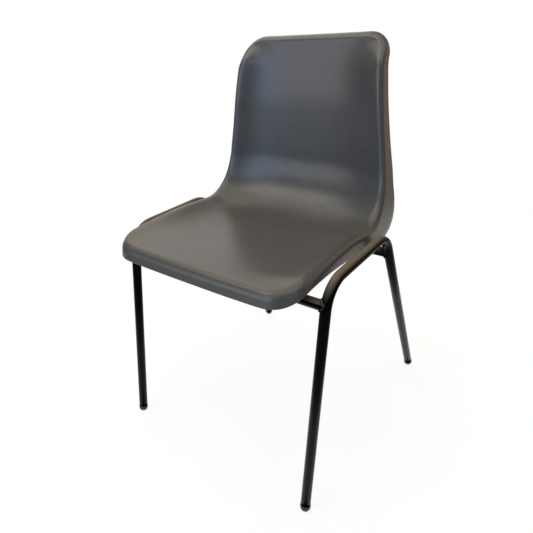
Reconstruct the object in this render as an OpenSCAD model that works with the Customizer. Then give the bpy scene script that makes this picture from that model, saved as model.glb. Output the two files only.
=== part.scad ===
// Stacking choir chair: a one-piece moulded shell carried by a frame of bent round tube.
// The floor is z = 0, x runs across the chair, the sitter faces -Y and x = 0 is the middle.
// Every piece is drawn in that frame, and the last module centres the chair's depth on y = 0.

/* [Frame tube] */
// Outside diameter of the tube
tube_d = 19; // [17:0.5:22]
// Wall thickness of the tube
tube_wall = 1.5; // [1.2:0.1:2.5]
// Height of the rail's centre line at its front corner
rail_h = 453; // [400:1:500]
// How much higher the rail is at its rear corner
rail_rise = 7.2; // [0:0.2:14]
// Length of the rail from front corner to rear corner
rail_len = 218.5; // [200:0.5:240]
// Distance on the floor from front foot to rear foot
foot_spread = 528; // [480:1:580]
// How far the front foot stands ahead of the rail's front corner
front_splay = 67.6; // [40:0.2:90]
// Bend radius at the front corner, on the tube's centre line
front_bend_r = 52; // [45:1:60]
// Bend radius at the rear corner, on the tube's centre line
rear_bend_r = 59; // [50:1:66]
// How much the tube's radius swells where it is bent
bend_swell = 0.1; // [0.05:0.01:0.2]
// How far a straight's end reaches into the swollen bend beside it
bend_lap = 1; // [0.5:0.1:1.5]
// Space between the shell's side and the inside of the rail
side_gap = 10.3; // [4:0.1:16]

/* [Cross tubes] */
// Distance down the front leg from the rail's corner to the front cross tube
front_cross_drop = 36; // [30:0.5:60]
// Distance down the rear leg from the rail's corner to the rear cross tube
rear_cross_drop = 52.8; // [40:0.5:60]
// Gap between the coped end of a cross tube and the leg, filled by the weld
weld_gap = 0.2; // [0.1:0.05:0.4]
// Height of the weld bead on the cross tube
weld_size = 3; // [1.5:0.5:5]

/* [Shell outline] */
// Width of the seat over its side skirts
seat_w = 426; // [380:1:460]
// Reach of the front lip ahead of the chair's foot middle line
lip_reach = 275.5; // [262:0.5:290]
// Reach of the seat's low point ahead of the same line
dip_reach = 120; // [100:1:150]
// Place of the bend between seat and back, behind the same line
bend_reach = 110.5; // [100:0.5:120]
// Place of the lower back, behind the same line
back_reach = 120; // [112:0.5:130]
// Place of the top edge, behind the same line
top_reach = 136; // [128:0.5:160]
// Height of the front lip above the rail's front corner
lip_lift = 3; // [0:0.5:10]
// Depth of the seat's low point below the rail's front corner
dip_drop = 2; // [0:0.5:6]
// Depth of the bend's corner below the rail's front corner
bend_drop = 6.5; // [2:0.5:10]
// Height of the lower back above the rail's front corner
back_lift = 237; // [200:1:260]
// Height of the top edge above the rail's front corner
top_lift = 355; // [320:1:400]
// Radius of the seat's dip along the chair
dip_r = 500; // [300:10:700]
// Radius of the bend between seat and back
bend_r = 120; // [90:1:130]
// Radius of the slight curve up the back
back_r = 500; // [300:10:700]
// Corner radius of the seat's front
front_corner_r = 56; // [40:1:70]
// Corner radius of the back's top
top_corner_r = 46; // [35:1:60]

/* [Shell section] */
// Wall thickness of the moulding
wall = 4; // [3:0.1:5]
// Height of the side rims above the middle of the seat and back
rim_rise = 30; // [20:0.5:36]
// Softness of the crest where the dish meets the rolled rim
crest_soft = 6; // [4:0.5:8]
// Radius of the rolled rim
roll_r = 12; // [9:0.5:14]
// Drop from the rim's crest to the edge of the turned-down skirt
skirt_drop = 40; // [34:0.5:44]
// Outward flare of the skirt, the draft that frees it from the mould
skirt_flare = 1.5; // [0.5:0.1:3]

/* [Fixings] */
// Distance of each fixing from the middle of the chair
fixing_x = 120; // [90:1:150]
// Diameter of the bosses under the seat
boss_d = 26; // [22:0.5:30]
// How far a boss reaches down each side of its cross tube
saddle_depth = 4; // [2:0.5:6]
// Gap between a boss or washer and the tube that it sits on
saddle_gap = 0.1; // [0.05:0.05:0.3]
// Diameter of the fixing screws
screw_d = 5; // [4:0.5:6]
// Clearance round a screw in the tube and the washer
screw_clear = 0.5; // [0.2:0.1:0.8]
// Clearance round a screw in its boss
pilot_clear = 0.1; // [0.05:0.05:0.3]
// Depth of a screw in its boss
screw_bite = 14; // [10:0.5:16]
// Depth of the pilot hole past the screw's tip
pilot_spare = 2; // [1:0.5:3]
// Diameter of a screw's countersunk head
head_d = 10; // [8:0.5:12]
// Height of the straight edge of a screw's head
head_edge = 0.4; // [0.2:0.1:0.8]
// Width of a slot of the cross recess
recess_w = 1.4; // [1:0.1:1.8]
// Length of a slot of the cross recess
recess_len = 5; // [4:0.5:5.5]
// Depth of the cross recess
recess_depth = 1.8; // [1:0.1:2]
// Diameter of a saddle washer
washer_d = 16; // [14:0.5:18]
// Thickness of a saddle washer under the tube
washer_h = 3; // [2.5:0.5:5]

/* [Feet] */
// Diameter of a foot cap's domed head
foot_d = 20; // [19:0.5:24]
// How much of the dome is flattened where it stands on the floor
foot_flat = 0.8; // [0.4:0.1:1.5]
// Length of the head's straight collar below the tube's end
collar_h = 5; // [3:0.5:8]
// Length of the plug that sits inside the tube
plug_len = 22; // [15:1:30]
// Clearance of the plug's core inside the tube
plug_clear = 0.8; // [0.4:0.1:1.2]
// Clearance of the plug's gripping ribs inside the tube
rib_clear = 0.05; // [0.05:0.01:0.2]
// Length of one gripping rib
rib_len = 2; // [1:0.5:3]
// Number of gripping ribs
rib_count = 3; // [1:1:4]

/* [Hidden] */
$fn = 48;
overrun = 1;
bore_d = tube_d - 2 * tube_wall;
tube_r = tube_d / 2;
half_w = seat_w / 2;
loop_x = half_w + side_gap + tube_r;
sides = [-1, 1];

// Directions and corners of a side loop's centre line, as points (y, z)
function unit(v) = v / norm(v);
front_foot = [-foot_spread / 2, 0];
rear_foot = [foot_spread / 2, 0];
front_corner = front_foot + [front_splay, rail_h];
rear_corner = front_corner + [rail_len, rail_rise];
front_leg_up = unit(front_corner - front_foot);
rear_leg_up = unit(rear_corner - rear_foot);
front_cross = front_corner - front_leg_up * front_cross_drop;
rear_cross = rear_corner - rear_leg_up * rear_cross_drop;

// Each foot cap's dome has its centre on the leg's line, so that its flat lies on the floor
dome_r = foot_d / 2;
dome_h = dome_r - foot_flat;
front_dome = front_foot + front_leg_up * dome_h / front_leg_up[1];
rear_dome = rear_foot + rear_leg_up * dome_h / rear_leg_up[1];
front_tube_end = front_dome + front_leg_up * collar_h;
rear_tube_end = rear_dome + rear_leg_up * collar_h;

// The shell's middle line is a path of straights and arcs, as points (y, z)
lip = [-lip_reach, rail_h + lip_lift];
dip = [-dip_reach, rail_h - dip_drop];
bend = [bend_reach, rail_h - bend_drop];
back = [back_reach, rail_h + back_lift];
top = [top_reach, rail_h + top_lift];
arc_steps = 24;
tail = roll_r;
function turned(v, angle) = [v[0] * cos(angle) - v[1] * sin(angle), v[0] * sin(angle) + v[1] * cos(angle)];
function round_corner(a, b, c, r) =
    let (u = unit(a - b), v = unit(c - b), half = acos(u * v) / 2)
    let (centre = b + unit(u + v) * r / sin(half), start = b + u * r / tan(half) - centre)
    let (sweep = sign(cross(b - a, c - b)) * (180 - 2 * half))
    [for (k = [0 : arc_steps]) centre + turned(start, sweep * k / arc_steps)];
middle_path = concat(
    [lip - unit(dip - lip) * tail],
    round_corner(lip, dip, bend, dip_r),
    round_corner(dip, bend, back, bend_r),
    round_corner(bend, back, top, back_r),
    [top + unit(top - back) * tail]);

// Distance along the middle line at each of its points, zero at the lip
path_s = [for (i = 0, s = -tail; i < len(middle_path);
               i = i + 1, s = i < len(middle_path) ? s + norm(middle_path[i] - middle_path[i - 1]) : s) s];
shell_len = path_s[len(path_s) - 1] - tail;
y_at_s = [for (i = [0 : len(path_s) - 1]) [path_s[i], middle_path[i][0]]];
z_at_s = [for (i = [0 : len(path_s) - 1]) [path_s[i], middle_path[i][1]]];
s_at_y = [for (i = [0 : len(path_s) - 1])
    if (middle_path[i][1] < rail_h + bend_r / 2) [middle_path[i][0], path_s[i]]];
function middle(s) = [lookup(s, y_at_s), lookup(s, z_at_s)];
slope_step = wall / 2;
function middle_normal(s) =
    let (t = unit(middle(s + slope_step) - middle(s - slope_step))) [-t[1], t[0]];

// How the width, rim, skirt and roll change from the lip to the top, as shares of their sizes
place_share = [0, 0.086, 0.307, 0.437, 0.528, 0.62, 0.756, 0.9, 1];
width_share = [1, 1, 0.985, 0.99, 0.967, 0.935, 0.869, 0.805, 0.77];
rim_share = [0.02, 0.46, 0.88, 0.8, 0.97, 1.1, 1.04, 1.02, 0.07];
skirt_share = [0.72, 0.48, 0.85, 1.2, 1.9, 1.01, 0.74, 0.63, 0.37];
roll_share = [1.7, 1.2, 1, 1, 0.85, 0.68, 0.68, 0.74, 1.08];
// How strongly the dish steepens towards the rim
dish_power = 3;

// Smooth curve through a table of shares that never swings past them
function rate(t, k) = (t[k + 1] - t[k]) / (place_share[k + 1] - place_share[k]);
function knot_slope(t, k) =
    k == 0 || k == len(t) - 1 ? 0
    : rate(t, k - 1) * rate(t, k) <= 0 ? 0
    : 2 * rate(t, k - 1) * rate(t, k) / (rate(t, k - 1) + rate(t, k));
function span_of(x, k = 0) = k >= len(place_share) - 2 || x < place_share[k + 1] ? k : span_of(x, k + 1);
function share_at(t, s) =
    let (x = min(max(s / shell_len, 0), 1), k = span_of(x))
    let (w = place_share[k + 1] - place_share[k], f = (x - place_share[k]) / w)
    t[k] * (1 + 2 * f) * (1 - f) * (1 - f) + knot_slope(t, k) * w * f * (1 - f) * (1 - f)
    + t[k + 1] * f * f * (3 - 2 * f) + knot_slope(t, k + 1) * w * f * f * (f - 1);
function half_width(s) = half_w * share_at(width_share, s);
function roll_at(s) = roll_r * share_at(roll_share, s);

// Height of the sheet above its middle line: a dish that steepens outward up to a soft crest
function softened(inside) = inside - crest_soft * (1 - exp(-inside / crest_soft));
function rise(x, s) =
    let (crest_x = half_width(s) - roll_at(s), inside = max(crest_x - abs(x), 0))
    let (f = max(1 - softened(inside) / softened(crest_x), 0))
    rim_rise * share_at(rim_share, s) * pow(f, dish_power);
function sheet_point(x, s, h) =
    let (m = middle(s), n = middle_normal(s)) [x, m[0] + n[0] * h, m[1] + n[1] * h];

// Right half of the rim's outline on the unrolled sheet: [x, s, inward x, inward s]
edge_steps = 5;
corner_steps = 7;
side_steps = 40;
front_w = half_width(front_corner_r);
back_w = half_width(shell_len - top_corner_r);
side_len = shell_len - front_corner_r - top_corner_r;
function side_row(s) =
    let (lean = (half_width(s + slope_step) - half_width(s - slope_step)) / (2 * slope_step))
    let (n = unit([-1, lean])) [half_width(s), s, n[0], n[1]];
half_rim = concat(
    [for (k = [0 : edge_steps - 1]) [(front_w - front_corner_r) * k / edge_steps, 0, 0, 1]],
    [for (k = [0 : corner_steps - 1]) let (a = 90 * k / corner_steps)
        [front_w - front_corner_r * (1 - sin(a)), front_corner_r * (1 - cos(a)), -sin(a), cos(a)]],
    [for (k = [0 : side_steps]) side_row(front_corner_r + side_len * k / side_steps)],
    [for (k = [1 : corner_steps]) let (a = 90 * k / corner_steps)
        [back_w - top_corner_r * (1 - cos(a)), shell_len - top_corner_r * (1 - sin(a)), -cos(a), -sin(a)]],
    [for (k = [1 : edge_steps]) [(back_w - top_corner_r) * (1 - k / edge_steps), shell_len, 0, -1]]);
half_count = len(half_rim) - 1;
rim_count = 2 * half_count;
function mirrored(r) = [-r[0], r[1], -r[2], r[3]];
rim = concat(half_rim, [for (k = [1 : half_count - 1]) mirrored(half_rim[half_count - k])]);

// Rings of points from the skirt's edge over the roll and into the dish, for the sitter's face
roll_steps = 6;
inward_share = [0.015, 0.035, 0.06, 0.1, 0.17, 0.27, 0.42, 0.65, 0.95];
spine_share = 0.27;
function crest_xs(r) = [r[0] + r[2] * roll_at(r[1]), r[1] + r[3] * roll_at(r[1])];
function crest_h(r) = let (c = crest_xs(r)) rise(c[0], c[1]);
function off_rim(r, d, h) = sheet_point(r[0] + r[2] * d, r[1] + r[3] * d, h);
function spine_s(s) = shell_len * spine_share + (1 - 2 * spine_share) * s;
skirt_edge = [for (r = rim)
    off_rim(r, -skirt_flare, crest_h(r) - skirt_drop * share_at(skirt_share, r[1]))];
roll_rings = [for (k = [0 : roll_steps]) let (a = 90 * k / roll_steps)
    [for (r = rim) off_rim(r, roll_at(r[1]) * (1 - cos(a)), crest_h(r) - roll_at(r[1]) * (1 - sin(a)))]];
dish_rings = [for (f = inward_share)
    [for (r = rim) let (c = crest_xs(r), x = c[0] * (1 - f), s = c[1] + (spine_s(r[1]) - c[1]) * f)
        sheet_point(x, s, rise(x, s))]];
face = concat([skirt_edge], roll_rings, dish_rings);
ring_count = len(face);

// The underside is the face moved in by the wall along its own normals
function face_normal(j, i) =
    let (round = face[j][(i + 1) % rim_count] - face[j][(i + rim_count - 1) % rim_count])
    let (across = face[min(j + 1, ring_count - 1)][i] - face[max(j - 1, 0)][i])
    unit(cross(round, across));
under = [for (j = [0 : ring_count - 1])
    [for (i = [0 : rim_count - 1]) face[j][i] - wall * face_normal(j, i)]];

// The chair's depth, from the lip to the rear feet, is centred on y = 0
lip_y = min([for (p = skirt_edge) p[1]]);
heel_y = rear_dome[0] + dome_r;
mid_y = (lip_y + heel_y) / 2;

// Places of the four fixings: [x, y and z of the cross tube under it]
fixings = [for (c = [front_cross, rear_cross]) for (side = sides) [side * fixing_x, c[0], c[1]]];

// Height of the middle of the shell's wall over a point of the floor
function wall_s(x, y, s) =
    let (n = middle_normal(s), h = rise(x, s) - wall / 2) lookup(y - n[0] * h, s_at_y);
function wall_z(x, y) =
    let (s1 = wall_s(x, y, lookup(y, s_at_y)), s = wall_s(x, y, s1))
    sheet_point(x, s, rise(x, s) - wall / 2)[2];

module centred() {
    translate([0, -mid_y, 0]) children();
}

// Draws its children in the plane of a side loop: x becomes the chair's y, and y its height
module in_side_plane(x) {
    translate([x, 0, 0]) rotate([90, 0, 90]) children();
}

// A straight rod between two points of the side plane, run past its ends
module straight_rod(a, b, d, past_a, past_b) {
    translate([a[0], a[1], 0]) rotate([0, 0, atan2(b[1] - a[1], b[0] - a[0])]) rotate([0, 90, 0])
        translate([0, 0, -past_a]) cylinder(d = d, h = past_a + norm(b - a) + past_b);
}

// A bent rod at corner b of the path a-b-c
module bent_rod(a, b, c, r, d) {
    half = acos(unit(a - b) * unit(c - b)) / 2;
    centre = b + unit(unit(a - b) + unit(c - b)) * r / sin(half);
    last = b + unit(c - b) * r / tan(half) - centre;
    translate([centre[0], centre[1], 0]) rotate([0, 0, atan2(last[1], last[0])])
        rotate_extrude(angle = 180 - 2 * half) translate([r, 0]) circle(d = d + 2 * bend_swell);
}

// Distance from a corner of the path a-b-c to the ends of its bend
function bend_reach_of(a, b, c, r) = r / tan(acos(unit(a - b) * unit(c - b)) / 2);
front_reach = bend_reach_of(front_foot, front_corner, rear_corner, front_bend_r);
rear_reach = bend_reach_of(front_corner, rear_corner, rear_foot, rear_bend_r);
rail_dir = unit(rear_corner - front_corner);

// A rod along a side loop's whole centre line, run past both of its ends
module loop_rod(d, past) {
    rail_start = front_corner + rail_dir * front_reach;
    rail_end = rear_corner - rail_dir * rear_reach;
    straight_rod(front_tube_end, front_corner - front_leg_up * front_reach, d, past, bend_lap);
    bent_rod(front_foot, front_corner, rear_corner, front_bend_r, d);
    straight_rod(rail_start, rail_end, d, bend_lap, bend_lap);
    bent_rod(front_corner, rear_corner, rear_foot, rear_bend_r, d);
    straight_rod(rear_corner - rear_leg_up * rear_reach, rear_tube_end, d, bend_lap, past);
}

module side_loop(side) {
    color("#141518") in_side_plane(side * loop_x) difference() {
        loop_rod(tube_d, 0);
        loop_rod(bore_d, overrun);
    }
}

// A cross tube is coped to both loops, with a conical weld bead at each end and screw holes
module cross_tube(place) {
    color("#141518") difference() {
        union() {
            translate([-loop_x, place[0], place[1]]) rotate([0, 90, 0])
                cylinder(d = tube_d, h = 2 * loop_x);
            for (side = sides)
                translate([side * loop_x, place[0], place[1]]) rotate([0, -side * 90, 0])
                    cylinder(r1 = tube_r + weld_size, r2 = tube_r, h = tube_r + weld_size);
        }
        translate([-loop_x - overrun, place[0], place[1]]) rotate([0, 90, 0])
            cylinder(d = bore_d, h = 2 * (loop_x + overrun));
        for (side = sides) in_side_plane(side * loop_x) loop_rod(tube_d + 2 * weld_gap, 0);
        for (side = sides) translate([side * fixing_x, place[0], place[1] - tube_d])
            cylinder(d = screw_d + 2 * screw_clear, h = 2 * tube_d);
    }
}

// A boss is a round column from its saddle up into the middle of the shell's wall
boss_sides = 24;
module boss_column(place) {
    low = place[2] + tube_r - saddle_depth;
    ring = [for (k = [0 : boss_sides - 1]) let (a = 360 * k / boss_sides)
        [place[0] + boss_d / 2 * cos(a), place[1] + boss_d / 2 * sin(a)]];
    bottom = [for (p = ring) [p[0], p[1], low]];
    crown = [for (p = ring) [p[0], p[1], wall_z(p[0], p[1])]];
    centre = [place[0], place[1], wall_z(place[0], place[1])];
    walls = [for (k = [0 : boss_sides - 1]) let (n = (k + 1) % boss_sides)
        each [[k, boss_sides + k, boss_sides + n], [k, boss_sides + n, n]]];
    lid = [for (k = [0 : boss_sides - 1])
        [boss_sides + k, 2 * boss_sides, boss_sides + (k + 1) % boss_sides]];
    polyhedron(concat(bottom, crown, [centre]), concat([[for (k = [0 : boss_sides - 1]) k]], walls, lid));
}

// Triangles of a band between two rings of rim_count points that start at points a and b
function band(a, b) = [for (i = [0 : rim_count - 1]) let (n = (i + 1) % rim_count)
    each [[a + i, b + n, a + n], [a + i, b + i, b + n]]];
// Triangles that close the innermost ring: a fan at each straight end and a strip between the fans
function seam(a) =
    let (near = edge_steps + 1, far = half_count - near)
    concat(
        [for (k = [-near : near - 2])
            [a + near, a + (k + 1 + rim_count) % rim_count, a + (k + rim_count) % rim_count]],
        [for (i = [near : far - 1]) let (m = rim_count - i)
            each [[a + i, a + m, a + m - 1], [a + i, a + m - 1, a + i + 1]]],
        [for (k = [far + 1 : rim_count - far - 1]) [a + far, a + k + 1, a + k]]);
function flipped(faces) = [for (f = faces) [f[2], f[1], f[0]]];

// The moulded skin: sitter's face, underside and the strip that joins them at the skirt's edge
module skin() {
    total = ring_count * rim_count;
    last = (ring_count - 1) * rim_count;
    rings = [for (j = [0 : ring_count - 2]) each band(j * rim_count, (j + 1) * rim_count)];
    front = concat(rings, seam(last));
    rear = [for (f = flipped(front)) [f[0] + total, f[1] + total, f[2] + total]];
    polyhedron(concat([for (ring = face) each ring], [for (ring = under) each ring]),
               concat(front, rear, band(total, 0)));
}

module shell() {
    color("#4b4a49") difference() {
        union() {
            skin();
            for (f = fixings) boss_column(f);
        }
        for (c = [front_cross, rear_cross]) translate([-half_w - side_gap, c[0], c[1]])
            rotate([0, 90, 0]) cylinder(d = tube_d + 2 * saddle_gap, h = 2 * (half_w + side_gap));
        for (f = fixings) translate([f[0], f[1], f[2] + tube_r - saddle_depth - overrun])
            cylinder(d = screw_d + 2 * pilot_clear, h = saddle_depth + overrun + screw_bite + pilot_spare);
    }
}

// A foot cap stands on its flattened dome and grips the tube's bore with ribs on its plug
module foot_cap(side, dome, up) {
    lean = atan2(up[0], up[1]);
    color("#17181a") intersection() {
        translate([side * loop_x, dome[0], dome[1]]) rotate([-lean, 0, 0]) union() {
            sphere(d = foot_d);
            cylinder(d = foot_d, h = collar_h);
            cylinder(d = bore_d - 2 * plug_clear, h = collar_h + plug_len);
            for (k = [0 : rib_count - 1])
                translate([0, 0, collar_h + plug_len * (k + 1) / (rib_count + 1) - rib_len / 2])
                    cylinder(d = bore_d - 2 * rib_clear, h = rib_len);
        }
        translate([side * loop_x, dome[0], 0]) translate([-foot_d, -2 * foot_d, 0])
            cube([2 * foot_d, 4 * foot_d, foot_d + collar_h + plug_len]);
    }
}

// A countersunk head with its flat face down, grown all round by a gap. It ends a land below the tube.
washer_land = 0.3;
module countersunk_head(gap) {
    cylinder(d = head_d + 2 * gap, h = head_edge);
    translate([0, 0, head_edge])
        cylinder(d1 = head_d + 2 * gap, d2 = screw_d + 2 * gap, h = washer_h - washer_land - head_edge);
}

module fixing_screws() {
    color("silver") for (f = fixings) translate([f[0], f[1], f[2] - tube_r - washer_h]) difference() {
        union() {
            cylinder(d = screw_d, h = washer_h + tube_d + screw_bite);
            countersunk_head(0);
        }
        for (turn = [0, 90]) rotate([0, 0, turn])
            translate([-recess_len / 2, -recess_w / 2, -overrun])
                cube([recess_len, recess_w, recess_depth + overrun]);
    }
}

// A saddle washer is hollowed on top to sit under its cross tube, and countersunk for its screw
module saddle_washers() {
    color("#17181a") for (f = fixings) translate([f[0], f[1], f[2] - tube_r - washer_h]) difference() {
        cylinder(d = washer_d, h = washer_h + saddle_depth / 2);
        translate([-washer_d, 0, washer_h + tube_r]) rotate([0, 90, 0])
            cylinder(d = tube_d + 2 * saddle_gap, h = 2 * washer_d);
        translate([0, 0, -overrun]) cylinder(d = screw_d + 2 * screw_clear, h = washer_h + 2 * overrun);
        translate([0, 0, -overrun]) cylinder(d = head_d + 2 * saddle_gap, h = overrun);
        countersunk_head(saddle_gap);
    }
}

centred() shell();
centred() side_loop(-1);  // left_side_loop
centred() side_loop(1);  // right_side_loop
centred() cross_tube(front_cross);  // front_cross_tube
centred() cross_tube(rear_cross);  // rear_cross_tube
centred() foot_cap(-1, front_dome, front_leg_up);  // front_left_foot
centred() foot_cap(1, front_dome, front_leg_up);  // front_right_foot
centred() foot_cap(-1, rear_dome, rear_leg_up);  // rear_left_foot
centred() foot_cap(1, rear_dome, rear_leg_up);  // rear_right_foot
centred() fixing_screws();
centred() saddle_washers();
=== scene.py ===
# %% [markdown]
# # A choir chair
# This lesson dresses a plain armless stacking chair. The real chair is a single charcoal
# moulding, screwed to a frame of bent steel tube that is painted gloss black and stands on four
# plastic caps. The CAD model gives every size and place, so no shape here is fitted by eye: each
# surface is drawn again from the same sizes, only finer, and then gets its finish.

# %% The fixed frame
import math
import bmesh
import bpy
from mathutils import Matrix, Vector


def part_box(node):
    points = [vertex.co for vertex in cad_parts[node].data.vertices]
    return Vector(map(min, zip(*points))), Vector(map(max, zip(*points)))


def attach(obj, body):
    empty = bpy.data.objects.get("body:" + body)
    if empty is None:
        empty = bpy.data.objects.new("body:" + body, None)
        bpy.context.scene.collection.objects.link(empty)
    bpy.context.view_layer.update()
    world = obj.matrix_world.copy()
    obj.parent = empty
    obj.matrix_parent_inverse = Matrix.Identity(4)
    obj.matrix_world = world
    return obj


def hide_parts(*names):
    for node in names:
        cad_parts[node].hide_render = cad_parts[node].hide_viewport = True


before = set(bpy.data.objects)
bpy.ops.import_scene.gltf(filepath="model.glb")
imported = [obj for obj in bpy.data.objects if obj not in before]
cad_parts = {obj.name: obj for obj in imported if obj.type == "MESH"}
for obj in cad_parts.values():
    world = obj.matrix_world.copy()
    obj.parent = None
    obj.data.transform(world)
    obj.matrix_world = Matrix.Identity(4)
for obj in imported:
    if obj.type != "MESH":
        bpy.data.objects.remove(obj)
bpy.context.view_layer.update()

scene = bpy.context.scene
print("CAD nodes:", ", ".join(sorted(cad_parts)))

# %% [markdown]
# ## Small helpers
# Sizes are written in millimetres, as a maker would, and become metres when a mesh is made.
# Colours are written as sRGB hex, as read off a swatch, and one function turns them to the linear
# values that a shader wants. One more function adds a shader node with its settings and links,
# which keeps each material short enough to read in one go.

# %% Units, colours and nodes
MM = 0.001
MIX_A, MIX_B, MIX_OUT = 6, 7, 2   # where a Mix node keeps its two colours and their mixture


def linear(swatch):
    """The linear RGBA value of an sRGB hex colour such as '#4b4a49'."""
    parts = [int(swatch[i:i + 2], 16) / 255 for i in (1, 3, 5)]
    return tuple(c / 12.92 if c <= 0.04045 else ((c + 0.055) / 1.055) ** 2.4 for c in parts) + (1.0,)


def feed(tree, node, inputs):
    """Gives each socket its value, or links it where the value is the output of another node."""
    for socket, value in inputs.items():
        if isinstance(value, bpy.types.NodeSocket):
            tree.links.new(value, node.inputs[socket])
        else:
            node.inputs[socket].default_value = value


def add(tree, kind, inputs=None, **settings):
    """Adds a node with its settings and feeds its sockets."""
    node = tree.nodes.new(kind)
    for name, value in settings.items():
        setattr(node, name, value)
    feed(tree, node, inputs or {})
    return node


def new_material(name):
    """A new material, its node tree, its shader and the object's own coordinates."""
    material = bpy.data.materials.new(name)
    material.use_nodes = True
    tree = material.node_tree
    place = add(tree, "ShaderNodeTexCoord").outputs["Object"]
    return material, tree, tree.nodes["Principled BSDF"], place


print("charcoal #4b4a49 in linear light:", [round(c, 3) for c in linear("#4b4a49")])

# %% [markdown]
# ## Making a mesh into a piece
# Every piece of the chair is a grid of rings: a tube is rings along a line, a cap is rings round
# an axis, and the shell is rings that follow its rim. So one function joins rings with quads, one
# also closes the two ends, and one turns points and faces into an object that rides on the chair
# and hides the CAD node that it stands for, where there is one.

# %% Rings, faces and pieces


def ring_faces(rings, count, wrap=False):
    """Quads between neighbouring rings of count points. wrap also joins the last ring to the first."""
    faces = []
    for j in range(rings if wrap else rings - 1):
        low, high = j * count, (j + 1) % rings * count
        for i in range(count):
            n = (i + 1) % count
            faces.append((low + i, low + n, high + n, high + i))
    return faces


def closed_faces(rings, count):
    """Ring faces whose two ends are closed by fans. The fans' middles are the last two points."""
    faces = ring_faces(rings, count)
    tip = rings * count
    last = tip - count
    for i in range(count):
        n = (i + 1) % count
        faces += [(n, i, tip), (last + i, last + n, tip + 1)]
    return faces


def round_angles(count):
    """Angles in equal steps once round a circle."""
    return [2 * math.pi * i / count for i in range(count)]


def quarter_angles(steps):
    """Angles in equal steps over a quarter turn, both ends included."""
    return [math.pi / 2 * k / steps for k in range(steps + 1)]


def make_piece(name, points, faces, material, stands_for=None):
    """Makes an object of points in millimetres, smooth shaded, that rides on the chair."""
    mesh = bpy.data.meshes.new(name)
    mesh.from_pydata([[c * MM for c in p] for p in points], [], faces)
    mesh.polygons.foreach_set("use_smooth", [True] * len(mesh.polygons))
    mesh.materials.append(material)
    piece = bpy.data.objects.new(name, mesh)
    scene.collection.objects.link(piece)
    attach(piece, "root")
    if stands_for:
        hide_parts(stands_for)
    print(f"{name}: {len(points)} points, {len(faces)} faces")
    return piece


# %% [markdown]
# ## The camera
# The photograph was taken from in front of the chair and off to its +x side, about as high up as
# the chair's top and looking down, with a moderately wide lens. Its place was worked out from the
# four feet and the corners of the tube frame, so the camera is set by a position, three angles
# and a lens.

# %% The camera
CAMERA_MM = (532.6, -739.1, 797.2)
CAMERA_YAW, CAMERA_PITCH, CAMERA_ROLL = math.radians(37.46), math.radians(26.4), math.radians(-2.4)
FOCAL_PX, PHOTO_PX, SENSOR_MM = 452.6, 533, 36.0

turn = Matrix.Rotation(CAMERA_YAW, 3, "Z")
ahead = turn @ Vector((0, math.cos(CAMERA_PITCH), -math.sin(CAMERA_PITCH)))
level_right = turn @ Vector((1, 0, 0))
level_up = level_right.cross(ahead)
right = level_right * math.cos(CAMERA_ROLL) + level_up * math.sin(CAMERA_ROLL)
up = level_up * math.cos(CAMERA_ROLL) - level_right * math.sin(CAMERA_ROLL)

camera_data = bpy.data.cameras.new("photo_camera")
camera_data.sensor_width = SENSOR_MM
camera_data.lens = SENSOR_MM * FOCAL_PX / PHOTO_PX
camera = bpy.data.objects.new("photo_camera", camera_data)
camera.matrix_world = Matrix((right, up, -ahead)).transposed().to_4x4()
camera.location = Vector(CAMERA_MM) * MM
scene.collection.objects.link(camera)
scene.camera = camera
print("lens:", round(camera_data.lens, 2), "mm")

# %% [markdown]
# ## Charcoal polypropylene
# The shell is injection moulded polypropylene, the usual plastic of such chairs: tough, a little
# waxy, and cheap. The mould's face is spark eroded, which prints a fine matt grain on the plastic.
# The grain spreads every highlight into a soft sheen. Its hollows are painted a little darker and its
# peaks a little paler, a painted shade and highlight that show as a faint speckle. Polypropylene has
# an IOR of 1.49. The real grain is about 0.4 mm wide, too fine to show from here, so it is drawn
# coarser, 3 mm wide.

# %% Material of the shell
GRAIN_MM, GRAIN_BUMP, GRAIN_DEPTH_MM = 3.0, 0.45, 0.18
PIT_PAINTED_SHADE, PEAK_PAINTED_HIGHLIGHT = 0.84, 1.16                    # painted shade in the grain's hollows, painted highlight on its peaks
MOTTLE_MM, CHARCOALS = 90, ("#4b4a48", "#535250")   # the pigment is never mixed quite evenly
FLOW_MM, SHEEN_LOW, SHEEN_HIGH = 22, 0.28, 0.33     # the mould prints its grain not quite evenly
NOISE_LOW, NOISE_HIGH = 0.3, 0.7                    # most of a noise texture lies between these
POLYPROPYLENE_IOR = 1.49


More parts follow.
